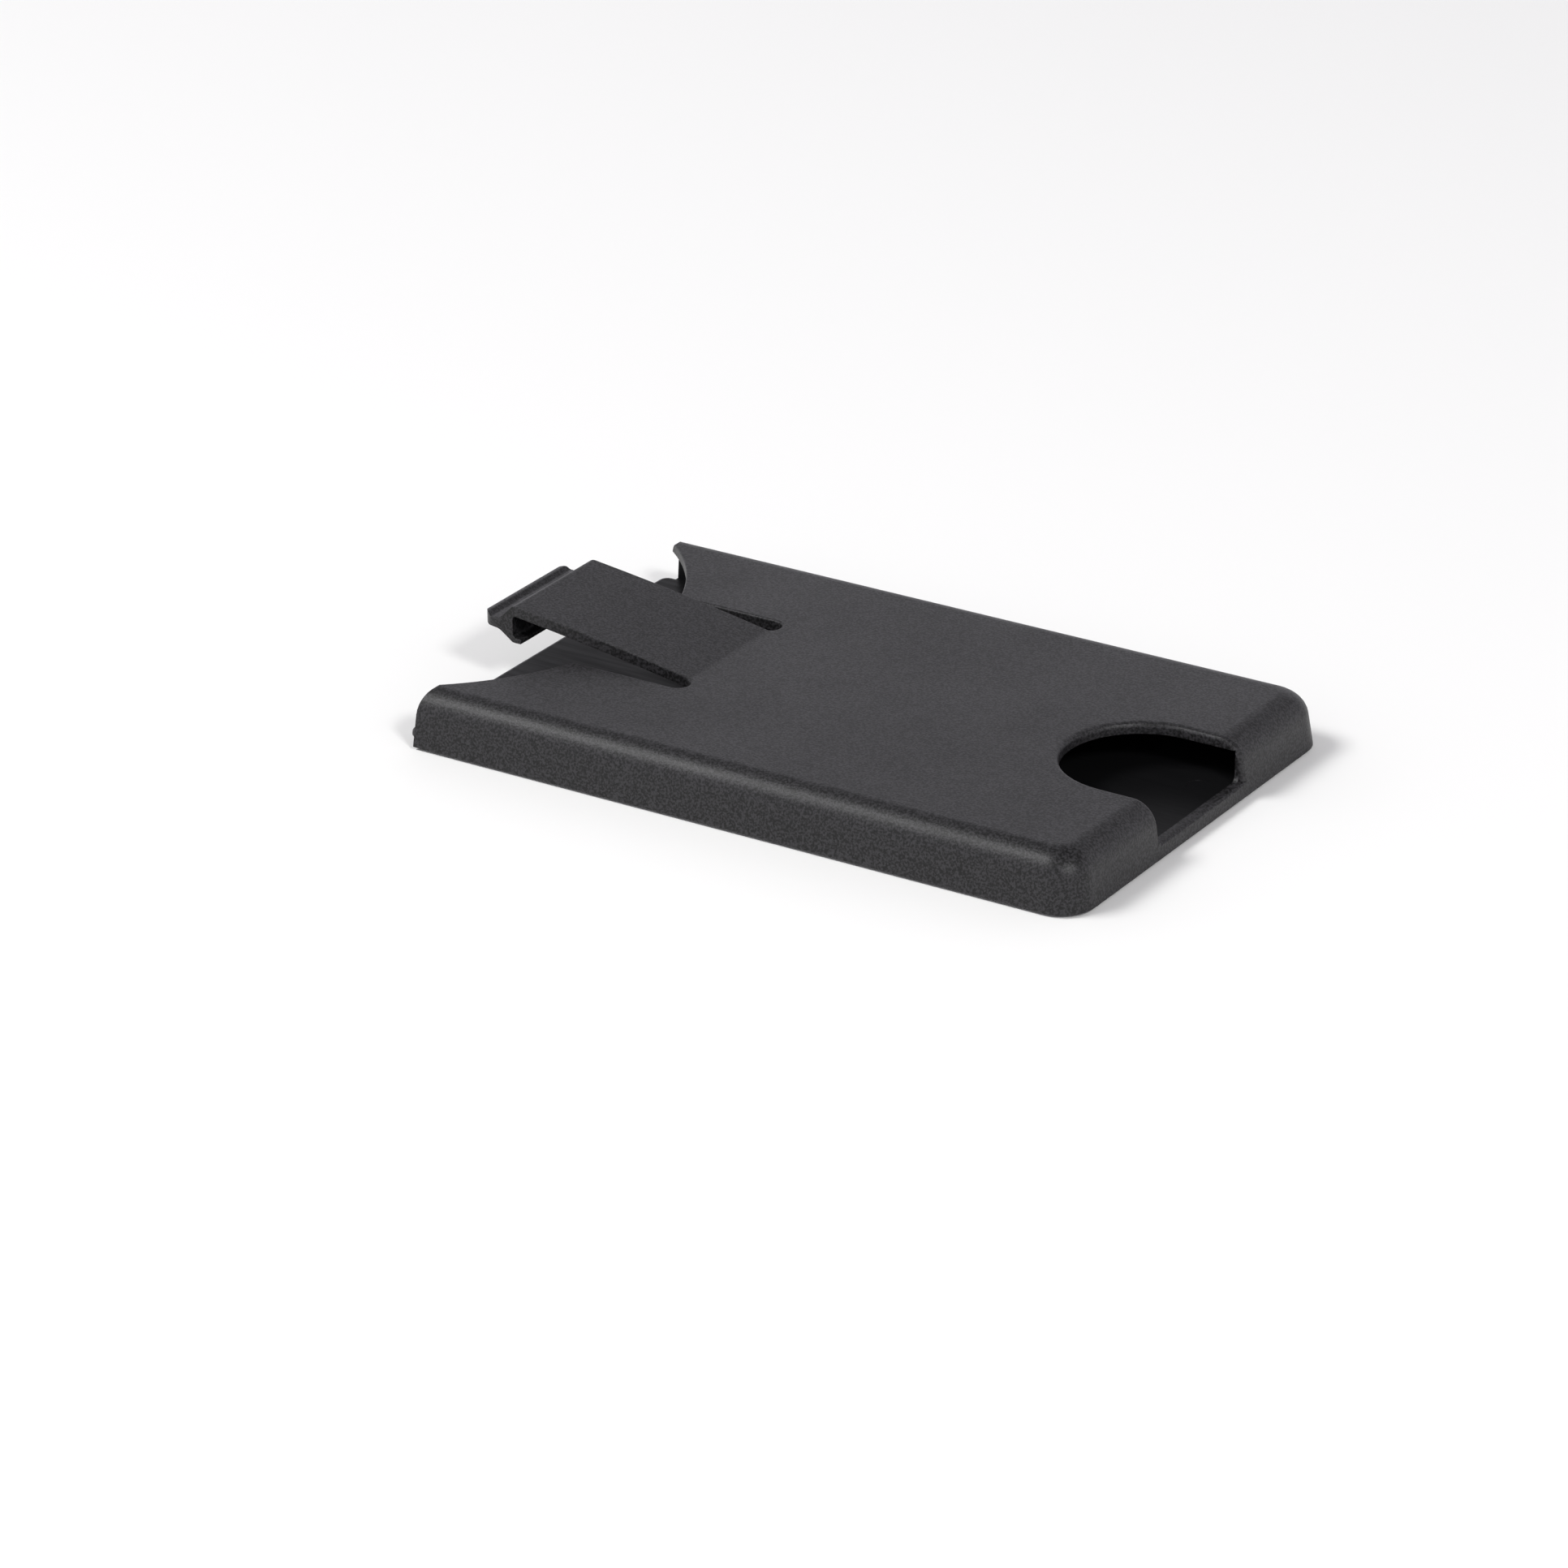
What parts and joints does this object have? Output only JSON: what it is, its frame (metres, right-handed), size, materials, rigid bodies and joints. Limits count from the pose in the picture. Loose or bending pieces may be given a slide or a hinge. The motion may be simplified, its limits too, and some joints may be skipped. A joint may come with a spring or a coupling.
{
  "type": "stick-on phone card holder",
  "caption": "Slim moulded sleeve for bank cards that sticks flat to a phone: open mouth with a spring tongue, and a thumb opening at the closed end.",
  "frame": {"origin": "centre of the flat face that sticks to the phone", "axes": "+X along the length from the open mouth to the closed end, +Z out of the phone's back"},
  "size_m": [0.094, 0.058, 0.0109],
  "materials": {
    "sleeve_plastic": "fine moulded grain",
    "pad_tape": "matte double-sided tape"
  },
  "bodies": {
    "root": {"sleeve": "sleeve_plastic", "adhesive_pad": "pad_tape"}
  },
  "joints": []
}
